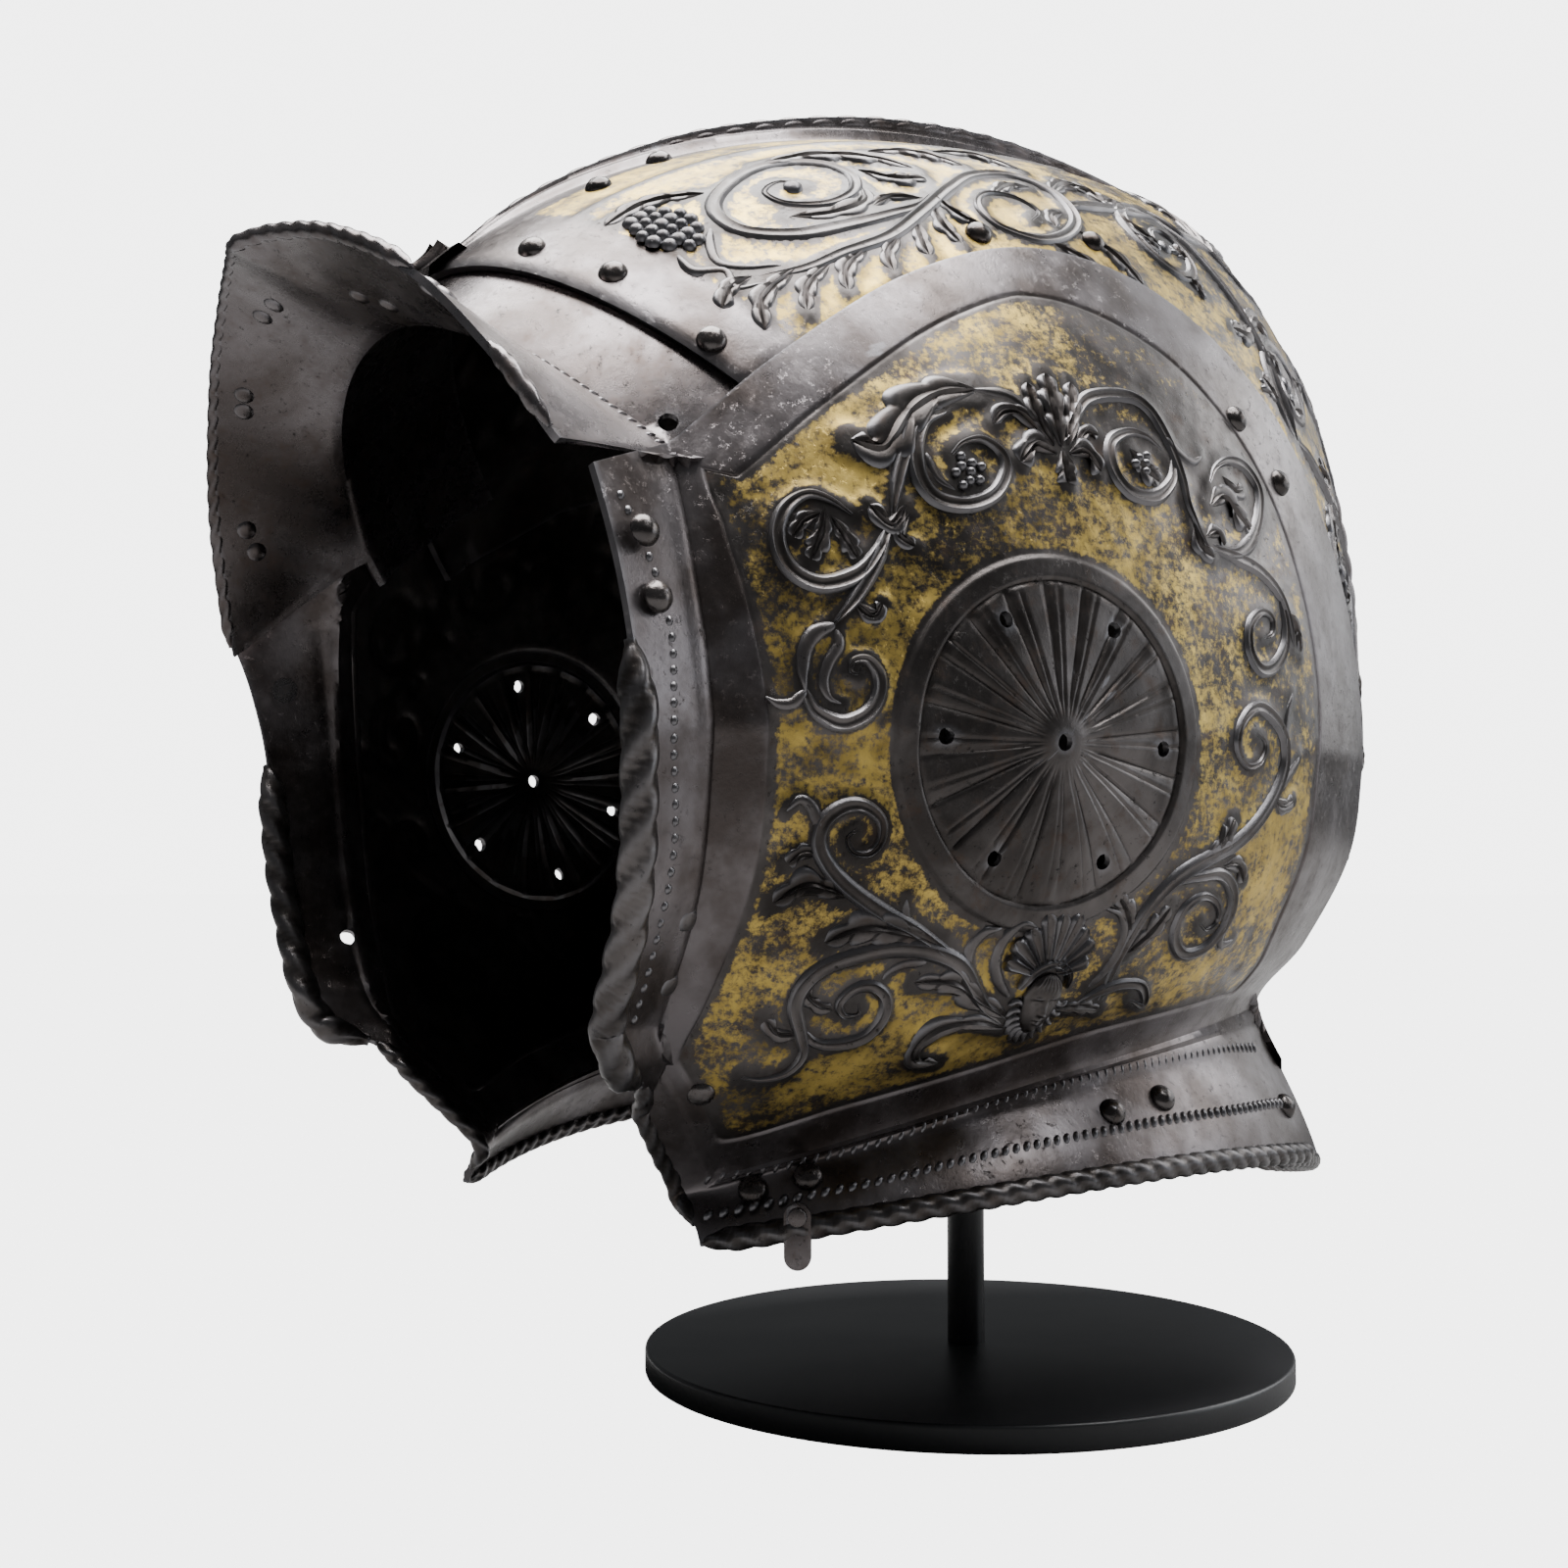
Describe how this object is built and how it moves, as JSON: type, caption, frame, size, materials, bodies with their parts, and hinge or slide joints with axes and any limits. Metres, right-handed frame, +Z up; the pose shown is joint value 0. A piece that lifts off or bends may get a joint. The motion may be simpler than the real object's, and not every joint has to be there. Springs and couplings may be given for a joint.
{
  "type": "close burgonet helmet on a plain disc stand",
  "caption": "Combed close burgonet of embossed iron plates with two hinged cheekpieces that swing outward, carried on a plain post and disc stand.",
  "frame": {"origin": "centre of the underside of the stand's disc", "axes": "+Z up; the wearer faces -Y; +X is the wearer's left"},
  "size_m": [0.2122, 0.3426, 0.3136],
  "materials": {
    "gilded_iron": "embossed dark iron, worn gilding on the ground",
    "russet_iron": "aged brown-black iron, smooth, half polished",
    "polished_iron": "grey iron with brown patina, polished",
    "rivet_iron": "dark domed rivet heads, polished by wear",
    "black_stand": "satin black paint"
  },
  "bodies": {
    "root": {"skull": "gilded_iron", "brow_plate": "polished_iron", "nape_plate": "russet_iron", "hinge_leaf_left": "russet_iron", "hinge_leaf_right": "russet_iron", "stand_base": "black_stand", "stand_post": "black_stand", "brow_rivet_1": "rivet_iron", "brow_rivet_2": "rivet_iron", "brow_rivet_3": "rivet_iron", "brow_rivet_4": "rivet_iron", "brow_rivet_5": "rivet_iron", "brow_rivet_6": "rivet_iron", "comb_rivet_1": "rivet_iron", "comb_rivet_2": "rivet_iron", "comb_rivet_3": "rivet_iron", "comb_rivet_4": "rivet_iron", "hinge_rivet_1": "rivet_iron", "hinge_rivet_2": "rivet_iron", "hinge_rivet_3": "rivet_iron", "hinge_rivet_4": "rivet_iron", "nape_rivet_1": "rivet_iron", "nape_rivet_2": "rivet_iron", "nape_rivet_3": "rivet_iron", "nape_rivet_4": "rivet_iron"},
    "cheek_left_body": {"cheek_left": "gilded_iron", "neck_hook_pin": "polished_iron", "cheek_left_rivet_1": "rivet_iron", "cheek_left_rivet_2": "rivet_iron", "cheek_left_rivet_3": "rivet_iron", "cheek_left_rivet_4": "rivet_iron", "cheek_left_rivet_5": "rivet_iron", "cheek_left_rivet_6": "rivet_iron", "cheek_left_rivet_7": "rivet_iron", "cheek_left_rivet_8": "rivet_iron", "cheek_left_rivet_9": "rivet_iron", "cheek_left_rivet_10": "rivet_iron"},
    "cheek_right_body": {"cheek_right": "gilded_iron", "cheek_right_rivet_1": "rivet_iron", "cheek_right_rivet_2": "rivet_iron", "cheek_right_rivet_3": "rivet_iron", "cheek_right_rivet_4": "rivet_iron", "cheek_right_rivet_5": "rivet_iron", "cheek_right_rivet_6": "rivet_iron", "cheek_right_rivet_7": "rivet_iron", "cheek_right_rivet_8": "rivet_iron", "cheek_right_rivet_9": "rivet_iron", "cheek_right_rivet_10": "rivet_iron"},
    "neck_hook_body": {"neck_hook": "polished_iron"}
  },
  "joints": [
    {"name": "cheek_left_swing", "type": "hinge", "parent": "root", "child": "cheek_left_body", "pos_m": [0.0755, -0.042, 0.254], "axis": [0, -1, 0], "range_deg": [0, 60]},
    {"name": "cheek_right_swing", "type": "hinge", "parent": "root", "child": "cheek_right_body", "pos_m": [-0.0755, -0.042, 0.254], "axis": [0, 1, 0], "range_deg": [0, 60]},
    {"name": "neck_hook_swing", "type": "hinge", "parent": "cheek_left_body", "child": "neck_hook_body", "pos_m": [0.06561, -0.09821, 0.055], "axis": [0.7613, -0.6484, 0], "range_deg": [-60, 60]}
  ]
}
